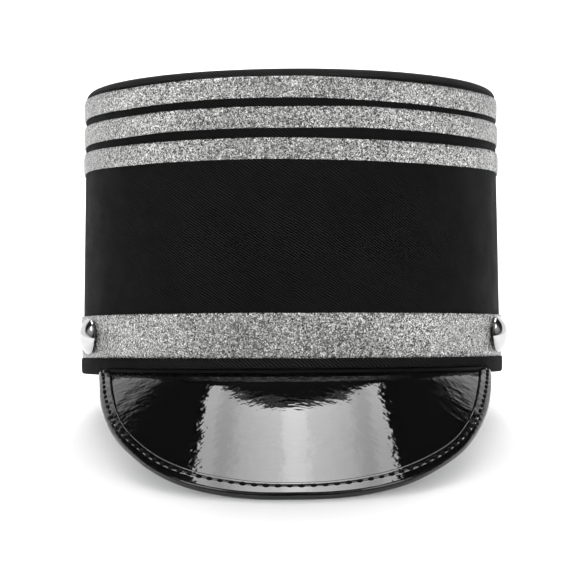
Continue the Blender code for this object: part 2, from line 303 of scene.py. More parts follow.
def makeFlakeGroup():
    # Glitter: each flake is a cell with its own tilt and its own tone, and few are bright.
    group, given, result = newGroup("glitterFlakes", [
        ("Vector", "Vector"), ("Flake Size", "Float"), ("Tilt", "Float"), ("Contrast", "Float"),
        ("Level", "Float"), ("Clumps", "Float"),
    ], [("Color", "Color"), ("Normal", "Vector"), ("Roughness", "Float")])
    scale = mathNode(group, "DIVIDE", 1.0, given["Flake Size"])
    cells = addNode(group, "ShaderNodeTexVoronoi", {"Vector": given["Vector"], "Scale": scale, "Randomness": 1.0})
    own = addNode(group, "ShaderNodeTexWhiteNoise", {
        "Vector": cells.outputs["Position"]}, noise_dimensions="3D").outputs
    lean = vectorMath(group, "SCALE", {0: centred(group, own["Color"]), "Scale": given["Tilt"]})
    face = addNode(group, "ShaderNodeNewGeometry").outputs["Normal"]
    normal = vectorMath(group, "NORMALIZE", {0: vectorMath(group, "ADD", {0: face, 1: lean})})
    few = mathNode(group, "POWER", own["Value"], 2.4)
    tone = times(group, minus(group, few, 0.3), given["Contrast"])
    clump = noise(group, given["Vector"], times(group, scale, 0.28), 2.0)["Fac"]
    level = plus(group, tone, given["Level"], times(group, minus(group, clump, 0.5), given["Clumps"]))
    level = mathNode(group, "MAXIMUM", level, 0.1)
    colour = addNode(group, "ShaderNodeCombineColor", {0: level, 1: level, 2: times(group, level, 0.985)})
    group.links.new(colour.outputs[0], result["Color"])
    group.links.new(normal, result["Normal"])
    group.links.new(ramp(group, own["Value"], 0.18, 0.5), result["Roughness"])
    return group


twillGroup = makeTwillGroup()
patchGroup = makePatchGroup()
flakeGroup = makeFlakeGroup()

cloth = {
    "fuzz": 0.3,
    "sheenRoughness": 0.18,
    "kinds": (
        # material, tone, ridge depth (m), mm between the ridges, degrees that they fall to the
        # right, specular, sheen
        ("blackTwill", 0.0034, 0.0002, 0.98, 33.0, 0.04, 0.012),
        # The top's cloth is the same twill with a lighter tone: a painted highlight for the light from above on the
        # top and its rounded edge.
        ("topLitTwill", 0.0095, 0.0002, 0.98, 33.0, 0.045, 0.014),
        ("rimTwill", 0.0062, 0.0003, 1.3, 48.0, 0.01, 0.014),
    ),
}


def makeTwill(name, tone, depth, spacing, angle, specular, sheen):
    material, tree, shader = newMaterial(name)
    weave = useGroup(tree, twillGroup, {
        "Vector": clothPlace(tree), "Ridge Spacing": spacing, "Ridge Angle": math.radians(angle),
        "Fuzz": cloth["fuzz"]})
    # The base colour carries the weave's painted shade, darker between the ridges and lighter on them.
    setInputs(tree, shader, {
        "Base Color": grey(tree, times(tree, weave["Shade"], patches(tree, 0.03, 0.85, 1.15), tone)),
        "Roughness": patches(tree, 0.012, 0.62, 0.78),
        "Specular IOR Level": specular,
        "Sheen Weight": sheen,
        "Sheen Roughness": cloth["sheenRoughness"],
        "Normal": bump(tree, weave["Height"], 0.9, depth)})
    return material


innerFace = {
    "mesh": 1.3,              # mm between the backing's threads
    "darkest": 0.016,
    "lightest": 0.03,
    "roughness": 0.85,
}


def makeBoard():
    # The bare inner face of the tube: coarse stiffened backing.
    material, tree, shader = newMaterial("innerBoard")
    parts = axes(tree, clothPlace(tree))
    warp, weft = (mathNode(tree, "SINE", times(tree, parts[axis], 2 * math.pi / innerFace["mesh"])) for axis in "XY")
    fibre = noise(tree, objectPlace(tree), 900.0, 4.0)["Fac"]
    height = mathNode(tree, "MULTIPLY_ADD", times(tree, warp, weft), 0.35, fibre)
    tone = patches(tree, 0.04, innerFace["darkest"], innerFace["lightest"])
    setInputs(tree, shader, {
        "Base Color": grey(tree, times(tree, tone, ramp(tree, height, 0.7, 1.3))),
        "Roughness": innerFace["roughness"],
        "Normal": bump(tree, height, 0.7, 0.0002)})
    return material


flakes = {
    "size": 0.00044,
    "tilt": 1.1,
    "contrast": 0.85,
    "level": 0.395,
    "clumps": 0.5,
    "metallic": 0.85,
    # Painted shade: the ribbon's colour is darkened by how it faces the camera, to 0.8 where it faces it straight on
    # and to 0.6 where it turns away.
    "awayShade": (0.25, 0.85),      # facings between which a turned ribbon darkens
    "awayEdge": (0.02, 0.22),
    # Painted reflection: the sparks and dark ends that the ribbon shows only in glossy rays.
    "sparkScale": 380.0,           # of the sparks that the glossy peak mirrors
    "sparkTone": (0.3, 3.6),
    "sparkNoise": (0.5, 0.72),
    "mirrorEnds": (0.038, 0.052),  # m from the middle, where they fade
    "mirrorAgain": (0.082, 0.09),  # and where the buttons see them again
}


def makeGlitter():
    material, tree, shader = newMaterial("silverGlitter")
    place = objectPlace(tree)
    glint = useGroup(tree, flakeGroup, {
        "Vector": place, "Flake Size": flakes["size"], "Tilt": flakes["tilt"], "Contrast": flakes["contrast"],
        "Level": flakes["level"], "Clumps": flakes["clumps"]})
    # Painted shade by facing: the colour is darkened where the ribbon faces the camera straight on, and more where it
    # turns away.
    facing = addNode(tree, "ShaderNodeLayerWeight", {"Blend": 0.5}).outputs["Facing"]
    away = times(tree, ramp(tree, facing, 1.0, 0.6, *flakes["awayShade"]),
                 ramp(tree, facing, 0.8, 1.0, *flakes["awayEdge"]))
    # Painted reflection: in glossy rays only, so in the peak's mirror image, the ribbon's colour is broken into
    # painted sparks between the peak's middle and its ends, painted dark past them, and brought back where the
    # buttons mirror it.
    spark = noise(tree, place, flakes["sparkScale"], 2.0)["Fac"]
    spark = ramp(tree, spark, *flakes["sparkTone"], *flakes["sparkNoise"])
    aside = mathNode(tree, "ABSOLUTE", axes(tree, place)["X"])
    ends = plus(tree, ramp(tree, aside, 1.0, 0.1, *flakes["mirrorEnds"]),
                ramp(tree, aside, 0.0, 0.9, *flakes["mirrorAgain"]))
    glossy = addNode(tree, "ShaderNodeLightPath").outputs["Is Glossy Ray"]
    seen = mathNode(tree, "MULTIPLY_ADD", glossy, minus(tree, times(tree, spark, ends), 1.0), 1.0)
    level = times(tree, seen, times(tree, patches(tree, 0.022, 0.86, 1.14), away))
    setInputs(tree, shader, {
        "Base Color": vectorMath(tree, "SCALE", {0: glint["Color"], "Scale": level}),
        "Normal": glint["Normal"],
        "Roughness": glint["Roughness"],
        "Metallic": flakes["metallic"]})
    return material


patent = {
    "creaseLength": 0.0055,   # m, fine creases in the coating, slanting outwards and down
    "creaseWidth": 0.0012,
    "creasesBack": 90.0,      # per m towards the back
    "creaseSlant": 27.0,
    "creaseDepth": 0.00008,
    "creaseBend": 0.02,       # half the width over which they turn level in the middle
    "deeperSides": 4.5,       # times as deep at the peak's ends
    "deeperFrom": (0.042, 0.068),
    "tone": 0.002,
    "ior": 1.55,
}


def makePatent(name):
    material, tree, shader = newMaterial(name)
    place = objectPlace(tree)
    at = axes(tree, place)
    outwards = mathNode(tree, "SQRT", mathNode(tree, "MULTIPLY_ADD", at["X"], at["X"], patent["creaseBend"] ** 2))
    bothSides = combine(tree, outwards, plus(tree, at["X"], at["Y"]), at["Z"])
    turned = addNode(tree, "ShaderNodeVectorRotate", {
        "Vector": bothSides, "Angle": -math.radians(patent["creaseSlant"])}, rotation_type="Y_AXIS").outputs[0]
    stretched = addNode(tree, "ShaderNodeMapping", {"Vector": turned, "Scale": (
        1 / patent["creaseLength"], patent["creasesBack"], 1 / patent["creaseWidth"])}).outputs[0]
    crease = noise(tree, stretched, 1.0, 2.5)["Fac"]
    slow = noise(tree, place, 60.0, 1.0)["Fac"]
    deeper = times(tree, patches(tree, 0.009, 0.25, 1.0),
                   ramp(tree, outwards, 1.0, patent["deeperSides"], *patent["deeperFrom"]))
    height = mathNode(tree, "MULTIPLY_ADD", slow, 0.8, times(tree, crease, deeper))
    setInputs(tree, shader, {
        "Base Color": (patent["tone"], patent["tone"], patent["tone"], 1),
        "Roughness": patches(tree, 0.02, 0.012, 0.04),
        "IOR": patent["ior"],
        "Normal": bump(tree, height, 1.0, patent["creaseDepth"])})
    return material


def makeThread():
    material, tree, shader = newMaterial("blackThread")
    fibre = noise(tree, objectPlace(tree), 2500.0, 2.0)["Fac"]
    setInputs(tree, shader, {
        "Base Color": grey(tree, ramp(tree, fibre, 0.0004, 0.003)),
        "Roughness": 0.6,
        "Specular IOR Level": 0.08,
        "Normal": bump(tree, fibre, 0.5, 0.0001)})
    return material


def makeChrome():
    material, tree, shader = newMaterial("polishedSilver")
    scratch = noise(tree, objectPlace(tree), 1400.0, 3.0)["Fac"]
    setInputs(tree, shader, {
        "Metallic": 1.0,
        "Base Color": grey(tree, patches(tree, 0.004, 0.5, 0.57)),
        "Roughness": patches(tree, 0.003, 0.06, 0.13),
        "Normal": bump(tree, scratch, 0.15, 0.00002)})
    return material


twill, topTwill, rimTwill = [makeTwill(*kind) for kind in cloth["kinds"]]
board = makeBoard()
glitter = makeGlitter()
patentLeather = makePatent("patentLeather")
bindingLeather = makePatent("patentBinding")
thread = makeThread()
chrome = makeChrome()
print("materials ready")


# The crown: tube, top and folded rim

crown = {
    "segments": 320,
    "wallRows": 40,
    "clothRadius": 96.5,     # mm, at which the twill's ridges keep their spacing
    "clothStart": 121.9,     # mm up the wall, where the cloth of the top goes on
    "topLip": 3.3,
    "topSheet": 2.4,
    "topRounding": 3.1,
    "topSink": 0.35,
    "rimHeight": 5.2,
    "rimLeather": 1.2,
    "rimRise": 1.2,
    "rimDrop": 1.8,
    "rimClear": 1.2,         # degrees past the peak's end, where the edge starts to come down
    "rimEase": 3.8,          # degrees over which it comes down
    "rimTighter": 0.55,      # mm that the strip is drawn in at the sides
    "rimClothRadius": 98.5,
    "rimSegments": 640,
}


def makeCrownWall():
    foot = crown["rimRise"] + crown["rimLeather"] + hat["fit"]
    head = hat["height"] - crown["topLip"] - hat["fit"]
    heights = np.linspace(foot, head, crown["wallRows"])
    outside = [(crownRadius(z), z) for z in heights]
    inside = [(crownRadius(z) - hat["wall"], z) for z in heights[::-1]]
    profile = np.array(outside + inside)
    angle = ringAngles(crown["segments"])
    radius = profile[:, :1] + unevenness(angle, profile[:, 1:])
    points = roundTheHat(radius, angle, profile[:, 1:])
    uv = ringUv(profile, crown["segments"], crown["clothRadius"])
    faced = [0] * (len(outside) - 1) + [1] * (len(inside) + 1)
    piece = gridMesh("crownWall", toWorld(points), uv, [twill, board], True, faced)
    finishPiece(piece, "crown_wall")


def makeCrownTop():
    # The twill is drawn over the edge and lies flat on the top.
    lip = hat["height"] - crown["topLip"]
    ceiling = hat["height"] - crown["topSheet"]
    edge = crownRadius(lip)
    r = crown["topRounding"]
    flat = edge - r
    upright = [(edge - 0.25, lip), (edge, lip + 0.08)] + arcPoints((flat, hat["height"] - r), r, 0, 90, 10)
    over = [(flat * t, hat["height"]) for t in [*np.linspace(0.985, 0.02, 26), 0.003]]
    under = [(flat * t, ceiling) for t in np.linspace(0.02, 0.96, 8)]
    inner = [(edge - hat["wall"], ceiling - 0.02), (edge - hat["wall"], lip)]
    profile = np.array(upright + over + under + inner)
    height = profile[:, 1:]
    angle = ringAngles(crown["segments"])
    part = np.clip(profile[:, :1] / edge, 0, 1)
    points = roundTheHat(profile[:, :1] + part * unevenness(angle, height), angle, height)
    sink = crown["topSink"] * np.clip(1 - part, 0, 1) * (height > hat["height"] - 0.5)
    points[..., 2] -= sink * (1 + 0.3 * part * np.sin(2 * angle + 0.4))
    # Past the rounding the cloth is laid out from above.
    uv = ringUv(profile, crown["segments"], crown["clothRadius"], crown["clothStart"])
    wrapped = np.concatenate([points, points[:, :1]], 1)
    first = len(upright) - 1
    uv[first:len(profile)] = wrapped[first:, :, :2]
    covered = first + len(over)
    # The covered top takes the lighter twill, a painted highlight for the light from above.
    piece = gridMesh("crownTop", toWorld(points), uv, [topTwill, board], True,
                     [0] * covered + [1] * (len(profile) - covered))
    # Close the two small holes left round the axis.
    closeHoles(piece)
    finishPiece(piece, "crown_top")


def rimOuter():
    return hat["radiusBottom"] + hat["fit"] + crown["rimLeather"]


def rimInner():
    return hat["radiusBottom"] - hat["wall"] - hat["fit"] - crown["rimLeather"]


def degreesFromFront(angle):
    return np.degrees((angle + np.pi) % (2 * np.pi) - np.pi)


def rimLevel(angle):
    # The lower edge of the strip: lifted where it lies on the peak's root.
    degrees = degreesFromFront(angle)
    end = np.where(degrees < 0, peakShape["endLeft"], peakShape["endRight"])
    part = np.clip((np.abs(degrees) - end - crown["rimClear"]) / crown["rimEase"], 0, 1)
    part = part * part * (3 - 2 * part)
    return crown["rimRise"] - (crown["rimRise"] + crown["rimDrop"]) * part


def makeRim():
    outer, inner, t, high = rimOuter(), rimInner(), crown["rimLeather"], crown["rimHeight"]
    profile = [(outer, high - 0.35), (outer + 0.05, high * 0.6), (outer, 1.3 * t + 0.4)]
    profile += arcPoints((outer - 1.3 * t, 1.3 * t), 1.3 * t, 0, -90, 8)
    profile += arcPoints((inner + 0.8 * t, 0.8 * t), 0.8 * t, -90, -180, 6)
    profile += [(inner, high * 0.5), (inner, high - 0.3), (inner + 0.3, high), (inner + t - 0.1, high)]
    profile += [(inner + t, high - 0.2), (inner + t, t), (outer - t, t), (outer - t, high - 0.1)]
    profile += [(outer - t + 0.15, high), (outer - 0.35, high)]
    profile = np.array(profile)
    radius, height = profile[:, :1], profile[:, 1:]
    angle = ringAngles(crown["rimSegments"])
    share = np.clip((high - height) / (high - 1.3 * t), 0, 1)
    # The strip is drawn tighter at the sides.
    tight = np.clip((radius - outer + t) / t, 0, 1) * crown["rimTighter"] * np.sin(angle) ** 2
    points = roundTheHat(radius - tight, angle, height + rimLevel(angle) * share)
    uv = ringUv(profile, crown["rimSegments"], crown["rimClothRadius"], direction=-1)
    piece = gridMesh("rimBinding", toWorld(points), uv, [rimTwill], True)
    finishPiece(piece, "rim_binding")


# The peak is a sloping sheet, read by angle and by distance down it
peakShape = {
    "length": 69.4,
    "leather": 1.4,
    "tuck": 3.5,
    "rootHeight": 6.0,
    "endLeft": 57.0,
    "endRight": 60.0,
    "bindingLeather": 0.6,
    "bindingFit": 0.42,
    "slope": (
        # distance down (mm), degrees
        (-0.62, 0.0), (-0.6, 56.0), (0.8, 56.0), (0.84, 25.2), (2.0, 25.2), (4.0, 29.8), (7.0, 37.3),
        (10.0, 40.6), (22.0, 40.6), (40.0, 43.4), (72.0, 45.6),
    ),
    # part of the way round to the end, part of the length
    "reachLeft": (
        (0.0, 1.0), (0.1, 0.997), (0.2, 0.969), (0.3, 0.913), (0.4, 0.819), (0.5, 0.696),
        (0.6, 0.563), (0.7, 0.413), (0.8, 0.261), (0.9, 0.121), (1.0, 0.023),
    ),
    "reachRight": (
        (0.0, 1.0), (0.1, 0.995), (0.2, 0.965), (0.3, 0.904), (0.4, 0.805), (0.5, 0.689),
        (0.6, 0.545), (0.7, 0.396), (0.8, 0.25), (0.9, 0.122), (1.0, 0.023),
    ),
    # part of the way round to the end, width of the folded strip in mm
    "bindingWidth": (
        (0.0, 5.4), (0.1, 5.7), (0.2, 6.0), (0.3, 5.7), (0.4, 4.9), (0.5, 4.4),
        (0.6, 4.4), (0.7, 4.7), (0.8, 4.9), (0.9, 4.5), (1.0, 3.4),
    ),
    "columns": 240,
    # mm down the sheet: close rows where it turns down under the rim
    "nearRows": (
        -3.5, -2.5, -1.6, -1.0, -0.75, -0.66, -0.62, -0.58, -0.52, -0.42, -0.25, 0.0, 0.4, 0.74, 0.79, 0.82,
        0.85, 0.9, 1.0,
    ),
    # Painted shade: the sheet is dull black from the tuck down to this row, for the shade under the rim's overhang.
    "dullShadeRow": 0.9,          # dull down to here, where it is sewn in under the rim
    "rows": 110,             # wider ones towards its edge
}


makeCrownWall()
makeCrownTop()
makeRim()
print("crown ready")


# Glitter ribbons: a profile swept round the hat by Geometry Nodes, then roughened

ribbons = {
    "steps": 900,
    "thickness": 0.6,
    "edgeThickness": 0.72,   # part of the thickness
    "dome": 0.38,            # what the middle has on top of it
    "grain": 0.10,           # mm that single flakes stand up
    "grainSize": 0.55,
    "rows": (
        # piece, node, height of the top edge, width
        ("ribbonUpper", "ribbon_upper", 121.7, 8.9),
        ("ribbonMiddle", "ribbon_middle", 109.8, 8.9),
        ("ribbonLower", "ribbon_lower", 96.8, 8.9),
        ("bandRibbon", "band_ribbon", 24.2, 18.7),
    ),
    # degrees from the front, then how far each glued ribbon wanders up there (mm)
    "wander": (
        (-100, 0.0, 0.0, 0.4, 0.0), (-69, 0.48, 0.0, 1.1, -0.1), (-48, -0.1, -0.38, 0.3, 0.16),
        (-33, 0.25, 0.23, 0.23, 0.22), (-25, 0.55, 0.1, 0.2, 0.2), (-16, 0.82, 0.0, 0.18, 0.09),
        (-8, 0.7, 0.04, 0.22, 0.1), (1, 0.75, -0.12, 0.0, -0.1), (9, 0.5, 0.14, -0.32, 0.0),
        (17, 0.05, 0.43, -0.46, 0.05), (26, -0.19, 0.16, -0.54, -0.14), (34, -0.38, 0.0, -0.53, -0.18),
        (49, -0.65, -0.12, -0.51, -0.27), (62, -0.67, 0.0, -0.13, -0.26), (72, -0.2, 0.2, 0.3, -0.32),
        (100, 0.0, 0.0, 0.2, 0.0),
    ),
}


def finishTree(tree, geometry, material, result):
    whole = addNode(tree, "GeometryNodeRealizeInstances", {"Geometry": geometry}).outputs[0]
    smooth = addNode(tree, "GeometryNodeSetShadeSmooth", {"Geometry": whole}).outputs[0]
    dressed = addNode(tree, "GeometryNodeSetMaterial", {"Geometry": smooth, "Material": material})
    tree.links.new(dressed.outputs[0], result["Geometry"])


def makeRibbonTree():
    tree, given, result = newGroup("ribbonSweep", [
        ("Geometry", "Geometry"), ("Profile", "Object"), ("Grain", "Float"), ("Grain Size", "Float"),
        ("Material", "Material")], [("Geometry", "Geometry")], "GeometryNodeTree")
    profile = addNode(tree, "GeometryNodeObjectInfo", {"Object": given["Profile"]}).outputs["Geometry"]
    swept = addNode(tree, "GeometryNodeCurveToMesh", {"Curve": given["Geometry"], "Profile Curve": profile})
    scale = mathNode(tree, "DIVIDE", 1.0, given["Grain Size"])
    grain = addNode(tree, "ShaderNodeTexNoise", {"Scale": scale, "Detail": 1.0}).outputs["Color"]
    offset = vectorMath(tree, "SCALE", {0: centred(tree, grain), "Scale": times(tree, given["Grain"], 4.0)})
    moved = addNode(tree, "GeometryNodeSetPosition", {"Geometry": swept.outputs[0], "Offset": offset})
    finishTree(tree, moved.outputs[0], given["Material"], result)
    return tree


def polyCurve(name, points, cyclic):
    curve = bpy.data.curves.new(name, "CURVE")
    curve.dimensions = "3D"
    spline = curve.splines.new("POLY")
    spline.points.add(len(points) - 1)
    flat = np.concatenate([np.asarray(points, float), np.ones((len(points), 1))], 1)
    spline.points.foreach_set("co", flat.ravel())
    spline.use_cyclic_u = cyclic
    return placeObject(name, curve)


def runTree(item, tree, values, name):
    # Runs the tree on the object, and leaves a plain mesh object in its place.
    modifier = item.modifiers.new("build", "NODES")
    modifier.node_group = tree
    for socket in tree.interface.items_tree:
        if socket.in_out == "INPUT" and socket.name in values:
            modifier[socket.identifier] = values[socket.name]
    bpy.context.view_layer.update()
    ready = item.evaluated_get(bpy.context.evaluated_depsgraph_get())
    mesh = bpy.data.meshes.new_from_object(ready)
    mesh.name = name
    item.modifiers.remove(modifier)
    bpy.data.objects.remove(item, do_unlink=True)
    return placeObject(name, mesh)


def ribbonEdge(row, angle):
    degrees = degreesFromFront(angle)
    table = np.array(ribbons["wander"])
    near = sum(np.interp(degrees + shift, table[:, 0], table[:, row + 1]) for shift in (-3, 0, 3)) / 3
    return near + 0.05 * np.sin(7 * angle + 3 * row)


def makeRibbons():
    tree = makeRibbonTree()
    steps = ribbons["steps"]
    thick = ribbons["thickness"]
    for row, (name, node, top, width) in enumerate(ribbons["rows"]):
        count = 9 if width < 12 else 16
        middle = top - width / 2
        angle = 2 * np.pi * np.arange(steps) / steps
        radius = crownRadius(middle) + hat["skinFit"] + unevenness(angle, middle)
        path = roundTheHat(radius, angle, middle + ribbonEdge(row, angle))
        curve = polyCurve(name + "Path", path, True)
        across = np.linspace(-1, 1, count)
        flare = (hat["radiusBottom"] - hat["radiusTop"]) / hat["height"] * width / 2
        dome = thick * (ribbons["edgeThickness"] + ribbons["dome"] * (1 - np.abs(across) ** 4))
        front = [(a * (width / 2 - 0.05), d - a * flare) for a, d in zip(across, dome)]
        back = [(width / 2, 0.2 - flare), (width / 2 - 0.3, -flare),
                (-width / 2 + 0.3, flare), (-width / 2, 0.2 + flare)]
        section = [(out, up, 0) for up, out in front + back]
        profile = polyCurve(name + "Profile", section, True)
        piece = runTree(curve, tree, {
            "Profile": profile, "Grain": ribbons["grain"], "Grain Size": ribbons["grainSize"],
            "Material": glitter}, name)
        bpy.data.objects.remove(profile, do_unlink=True)
        piece.data.transform(leanMatrix())
        closeHoles(piece)
        finishPiece(piece, node)


makeRibbons()
print("ribbons ready")


def slopePath():
    step = 0.05
    distance = np.arange(-peakShape["tuck"], peakShape["length"] + 10, step)
    table = np.array(peakShape["slope"])
    angle = np.radians(np.interp(distance[:-1] + step / 2, table[:, 0], table[:, 1]))
    out, down = (np.concatenate([[0], np.cumsum(step * way)]) for way in (np.cos(angle), np.sin(angle)))
    radius = rimOuter() - peakShape["tuck"] + out
    height = crown["rimRise"] - hat["fit"] - peakShape["leather"] / 2 - down
    return distance, radius, height


pathDistance, pathRadius, pathHeight = slopePath()


def smoothTable(table, x):
    # The same smooth reading of an even table as the solids were made with.
    values = np.array([row[1] for row in table])
    last = len(values) - 1
    step = table[1][0] - table[0][0]
    k = np.minimum((x / step).astype(int), last - 1)
    part = (x - k * step) / step
    before = np.where(k > 0, values[np.maximum(k - 1, 0)], values[1])
    here, there = values[k], values[k + 1]
    after = np.where(k + 2 <= last, values[np.minimum(k + 2, last)], 2 * there - here)
    leave, arrive = (there - before) / 2, (after - here) / 2
    rest = here - there
    return (((2 * rest + leave + arrive) * part - 3 * rest - 2 * leave - arrive) * part + leave) * part + here


def onPeak(angle, distance):
    return roundTheHat(np.interp(distance, pathDistance, pathRadius), angle,
                       np.interp(distance, pathDistance, pathHeight))


def unit(v):
    return v / np.linalg.norm(v, axis=-1, keepdims=True)


def peakFrame(angle, distance):
    byAngle = (onPeak(angle + 0.002, distance) - onPeak(angle - 0.002, distance)) / 0.004
    byDistance = (onPeak(angle, distance + 0.05) - onPeak(angle, distance - 0.05)) * 10
    return byAngle, byDistance, unit(np.cross(byDistance, byAngle) * np.sign(
        np.cross(byDistance, byAngle)[..., 2:3] + 1e-12))


def outline(part):
    end = np.where(part < 0, peakShape["endLeft"], peakShape["endRight"])
    left, right = (smoothTable(peakShape[side], np.abs(part)) for side in ("reachLeft", "reachRight"))
    return np.radians(end * part), peakShape["length"] * np.where(part < 0, left, right)


def inwardStep(part):
    # Change of angle and distance for one millimetre square to the outline.
    angle, reach = outline(part)
    near, far = np.maximum(part - 0.01, -1), np.minimum(part + 0.01, 1)
    along = unit(onPeak(*outline(far)) - onPeak(*outline(near)))
    byAngle, byDistance, normal = peakFrame(angle, reach)
    inward = np.cross(along, normal)
    inward *= -np.sign((inward * byDistance).sum(-1, keepdims=True))
    aa, ad, dd = (byAngle ** 2).sum(-1), (byAngle * byDistance).sum(-1), (byDistance ** 2).sum(-1)
    ia, ib = (inward * byAngle).sum(-1), (inward * byDistance).sum(-1)
    whole = aa * dd - ad * ad
    return (ia * dd - ib * ad) / whole, (ib * aa - ia * ad) / whole


def shellPiece(name, outer, inner, uv, materials):
    # A sheet with thickness: the outer grid, the inner one and their border, as one closed grid.
    shell = np.concatenate([outer, inner[:, ::-1]], 1)
    shellUv = np.concatenate([uv, uv[:, ::-1], uv[:, :1]], 1)
    piece = gridMesh(name, toWorld(shell), shellUv, materials)
    closeEnds(piece, *outer.shape[:2])
    return piece


def closeEnds(piece, rows, columns):
    shape = bmesh.new()
    shape.from_mesh(piece.data)
    shape.verts.ensure_lookup_table()
    width = 2 * columns
    for row in (0, rows - 1):
        for k in range(columns - 1):
            a, b = row * width + k, row * width + k + 1
            c, d = row * width + width - 1 - (k + 1), row * width + width - 1 - k
            shape.faces.new([shape.verts[v] for v in (a, b, c, d)])
    bmesh.ops.recalc_face_normals(shape, faces=shape.faces)
    for face in shape.faces:
        face.smooth = True
    shape.to_mesh(piece.data)
    shape.free()


def makePeak():
    half = peakShape["leather"] / 2
    bend = 1.7 * half
    root = rimInner() - hat["fit"] - half
    level = crown["rimRise"] - hat["fit"] - half
    part = np.linspace(-1, 1, peakShape["columns"] + 1)
    byAngle, byDistance = inwardStep(part)
    angle, reach = outline(part)
    angle, reach = angle + byAngle * hat["fit"], reach + byDistance * hat["fit"]
    column = [(root, level + bend + z) for z in np.linspace(peakShape["rootHeight"], 0.4, 6)]
    column += arcPoints((root + bend, level + bend), bend, 180, 270, 8)
    turn = [(1.0, 0.0)] * 6
    turn += [(-math.cos(math.radians(a)), -math.sin(math.radians(a))) for a in np.linspace(180, 270, 9)]
    centres, normals = [], []
    for (radius, height), (out, up) in zip(column, turn):
        centres.append(roundTheHat(radius, angle, height))
        normals.append(unit(np.stack([hat["oval"] * out * np.sin(angle), -out * np.cos(angle),
                                      np.full_like(angle, hat["oval"] * up)], -1)))
    near = peakShape["nearRows"]
    far = [(near[-1], s) for s in np.linspace(0, 1, peakShape["rows"])[1:] ** 1.5]
    for start, share in [(d, 0) for d in near] + far:
        distance = start + (reach - start) * share
        centres.append(onPeak(angle, distance))
        normals.append(peakFrame(angle, distance)[2])
    middle, offset = np.stack(centres, 1), np.stack(normals, 1) * half
    top, under = middle + offset, middle - offset
    piece = shellPiece("peakSheet", top, under, top[..., :2], [patentLeather, thread])
    # Painted shade: down to that row the sheet takes the dull black thread material, so it stays black in the shade
    # under the rim.
    sewn, width = len(column) + near.index(peakShape["dullShadeRow"]), 2 * top.shape[1]
    for face in piece.data.polygons:
        face.material_index = int(max(v % width for v in face.vertices) <= sewn)
    finishPiece(piece, "peak")


seam = {
    # part of the way round to the end, mm from the turn's middle to the stitch line
    "inFromEdge": (
        (0.0, 3.3), (0.1, 3.6), (0.2, 3.8), (0.3, 3.5), (0.4, 2.5), (0.5, 2.1),
        (0.6, 1.5), (0.7, 1.65), (0.8, 1.55), (0.9, 1.25), (1.0, 0.6),
    ),
    "stations": 320,         # along each half of the strip
    "pitch": 4.6,
    "stitch": 2.7,
    "thread": 1.85,
    "threadLift": -0.3,
    "groove": 0.19,
    "grooveWidth": 0.42,
    "pucker": 0.02,
    "unevenness": 0.08,      # part of a stitch's size
    "seed": 7,
}


def bindingStations():
    # Places across the folded strip: share of the width, turned or not, degrees round the turn.
    flatTop = [(s, False, 90) for s in np.linspace(1, 0.02, 44)]
    turn = [(0, True, a) for a in np.linspace(90, -90, 15)]
    flatUnder = [(s, False, -90) for s in np.linspace(0.06, 1, 14)]
    return flatTop + turn + flatUnder


def makeBinding():
    slot = peakShape["leather"] / 2 + peakShape["bindingFit"]
    thick = slot + peakShape["bindingLeather"]
    part = np.linspace(-1, 1, 2 * seam["stations"] + 1)
    angle, reach = outline(part)
    byAngle, byDistance = inwardStep(part)
    width = np.minimum(smoothTable(peakShape["bindingWidth"], np.abs(part)), (reach - hat["fit"]) / -byDistance)
    run = np.concatenate([[0], np.cumsum(np.linalg.norm(np.diff(onPeak(angle, reach), axis=0), axis=-1))])
    run -= run[seam["stations"]]
    seamLine = smoothTable(seam["inFromEdge"], np.abs(part))
    outer, inner = [], []
    for share, turned, degrees in bindingStations():
        here = width * share
        a, r = angle + byAngle * here, reach + byDistance * here
        stepAngle, stepReach, normal = peakFrame(a, r)
        centre = onPeak(a, r)
        inward = unit(stepAngle * byAngle[:, None] + stepReach * byDistance[:, None])
        out, up = -math.cos(math.radians(degrees)), math.sin(math.radians(degrees))
        direction = inward * out + normal * up if turned else normal * up
        high = np.full_like(here, thick)
        if not turned and degrees > 0:
            # Rounded inner edge, the groove that the stitches pull in, and puckers between them.
            edge = width - here
            high -= 0.55 * np.clip(1 - edge / 0.7, 0, 1) ** 2 * peakShape["bindingLeather"]
            off = (here - seamLine) / seam["grooveWidth"]
            beat = 0.5 + 0.5 * np.cos(2 * np.pi * run / seam["pitch"])
            dip = np.exp(-off ** 2)
            high -= dip * (seam["groove"] + seam["pucker"] * (1 - beat)) * (width > seamLine + 0.8)
        outer.append(centre + direction * high[:, None])
        inner.append(centre + direction * slot)
    outer, inner = np.stack(outer, 1), np.stack(inner, 1)
    uv = np.stack(np.broadcast_arrays(run[:, None], np.arange(outer.shape[1])[None, :] * 0.3), -1)
    piece = shellPiece("peakBinding", outer, inner, uv, [bindingLeather])
    finishPiece(piece, "peak_binding")


